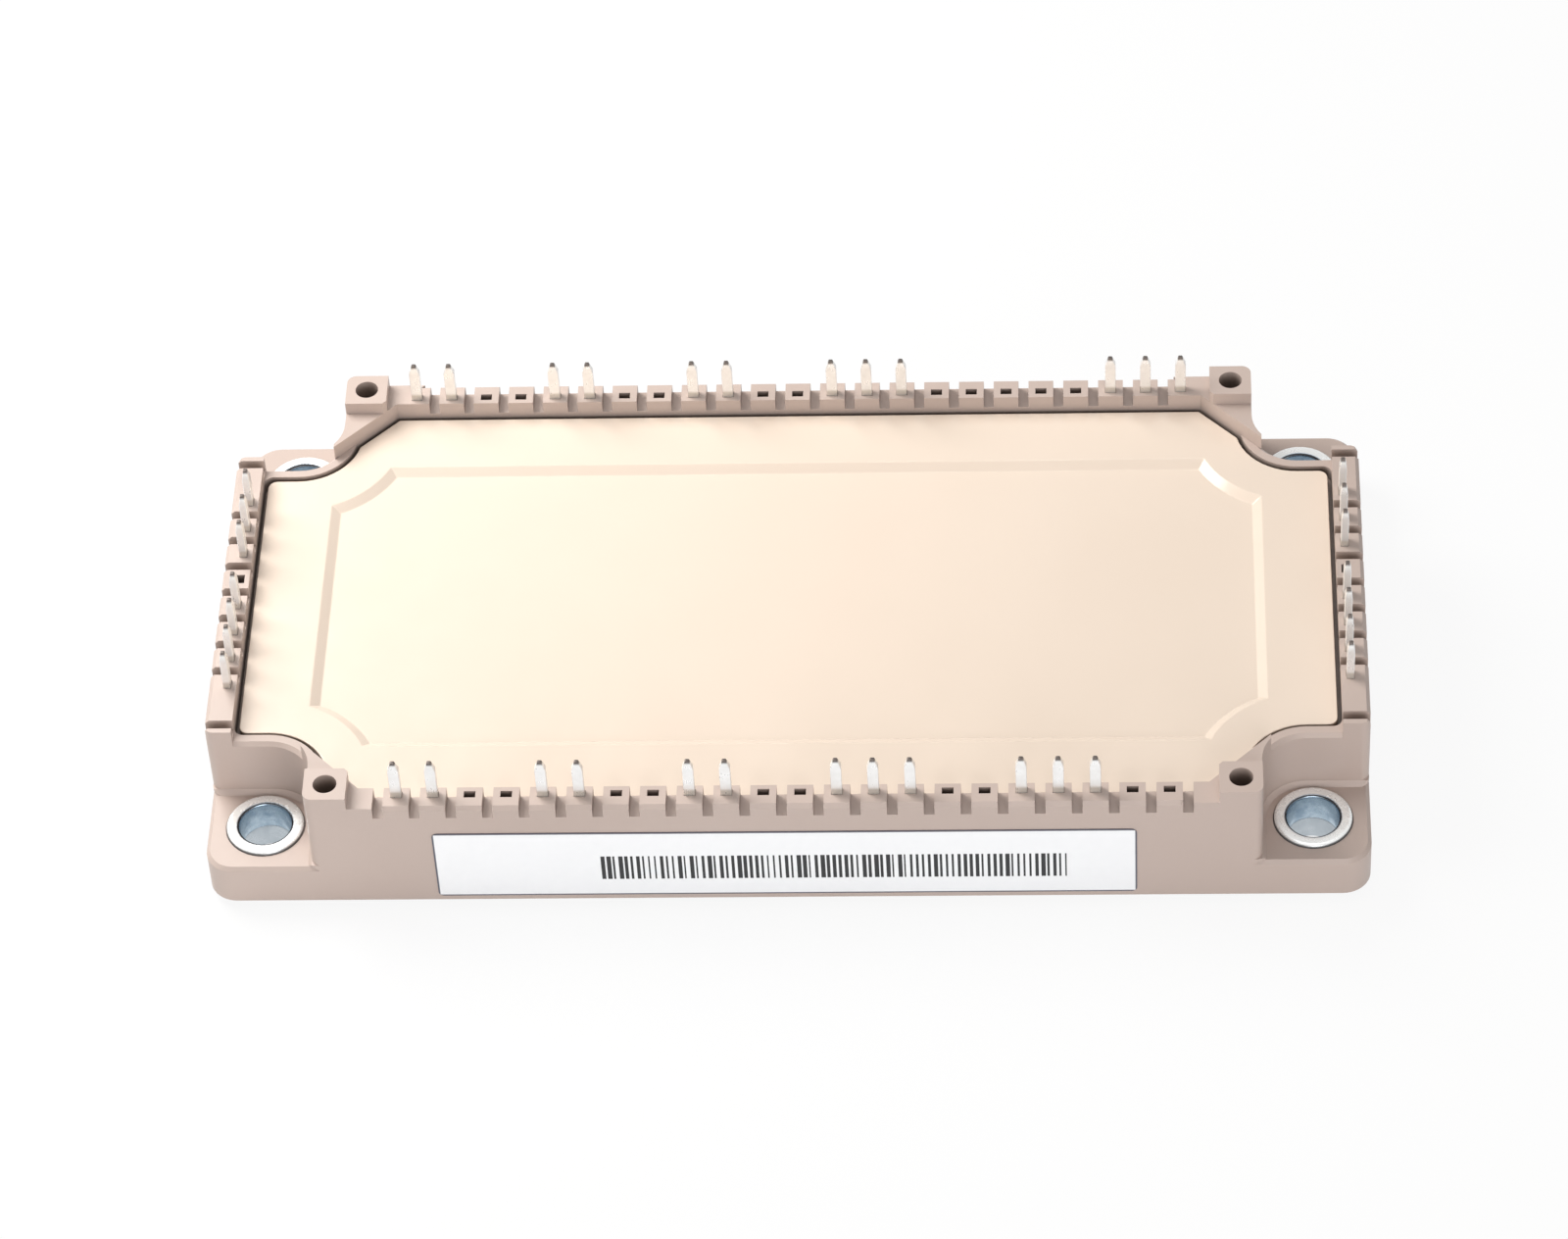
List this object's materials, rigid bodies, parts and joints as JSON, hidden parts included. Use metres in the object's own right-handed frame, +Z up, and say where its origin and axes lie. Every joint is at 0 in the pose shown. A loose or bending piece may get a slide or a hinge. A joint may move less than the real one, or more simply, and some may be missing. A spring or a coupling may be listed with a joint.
{
  "type": "power semiconductor module",
  "caption": "Flat beige power module with a metal base plate, a lid with a sunken panel, four screw corners and rows of flat solder terminals in toothed combs on all four sides.",
  "frame": {"origin": "centre of the underside, which rests on the heatsink", "axes": "+X along the module, +Y away from the side with the label, +Z up through the terminals"},
  "size_m": [0.122, 0.0621, 0.0205],
  "materials": {
    "frame_plastic": "light beige moulded plastic, slightly glossy",
    "lid_plastic": "cream moulded plastic, satin",
    "nickel": "nickel-plated copper, satin",
    "label_film": "white printed film",
    "zinc_steel": "zinc-plated steel, bluish",
    "tin": "bright tin-plated",
    "ceramic": "fired alumina",
    "copper": "bare copper",
    "chip": "metallised silicon",
    "thermistor": "dark ceramic",
    "bond": "bright aluminium ribbon",
    "gel": "clear silicone gel"
  },
  "bodies": {
    "root": {"housing": "frame_plastic", "lid": "lid_plastic", "baseplate": "nickel", "label": "label_film", "bushing_front_left": "zinc_steel", "bushing_front_right": "zinc_steel", "bushing_back_left": "zinc_steel", "bushing_back_right": "zinc_steel", "terminal_front_1": "tin", "terminal_front_2": "tin", "terminal_front_5": "tin", "terminal_front_6": "tin", "terminal_front_9": "tin", "terminal_front_10": "tin", "terminal_front_13": "tin", "terminal_front_14": "tin", "terminal_front_15": "tin", "terminal_front_18": "tin", "terminal_front_19": "tin", "terminal_front_20": "tin", "terminal_back_1": "tin", "terminal_back_2": "tin", "terminal_back_5": "tin", "terminal_back_6": "tin", "terminal_back_9": "tin", "terminal_back_10": "tin", "terminal_back_13": "tin", "terminal_back_14": "tin", "terminal_back_15": "tin", "terminal_back_21": "tin", "terminal_back_22": "tin", "terminal_back_23": "tin", "terminal_left_1": "tin", "terminal_left_2": "tin", "terminal_left_3": "tin", "terminal_left_5": "tin", "terminal_left_6": "tin", "terminal_left_7": "tin", "terminal_left_8": "tin", "terminal_right_1": "tin", "terminal_right_2": "tin", "terminal_right_3": "tin", "terminal_right_5": "tin", "terminal_right_6": "tin", "terminal_right_7": "tin", "terminal_right_8": "tin", "ceramic_left": "ceramic", "ceramic_right": "ceramic", "copper_left": "copper", "copper_right": "copper", "backing_left": "copper", "backing_right": "copper", "switch_chips": "chip", "diode_chips": "chip", "rectifier_chips": "chip", "thermistor": "thermistor", "bond_ribbons": "bond", "gel": "gel"}
  },
  "joints": []
}
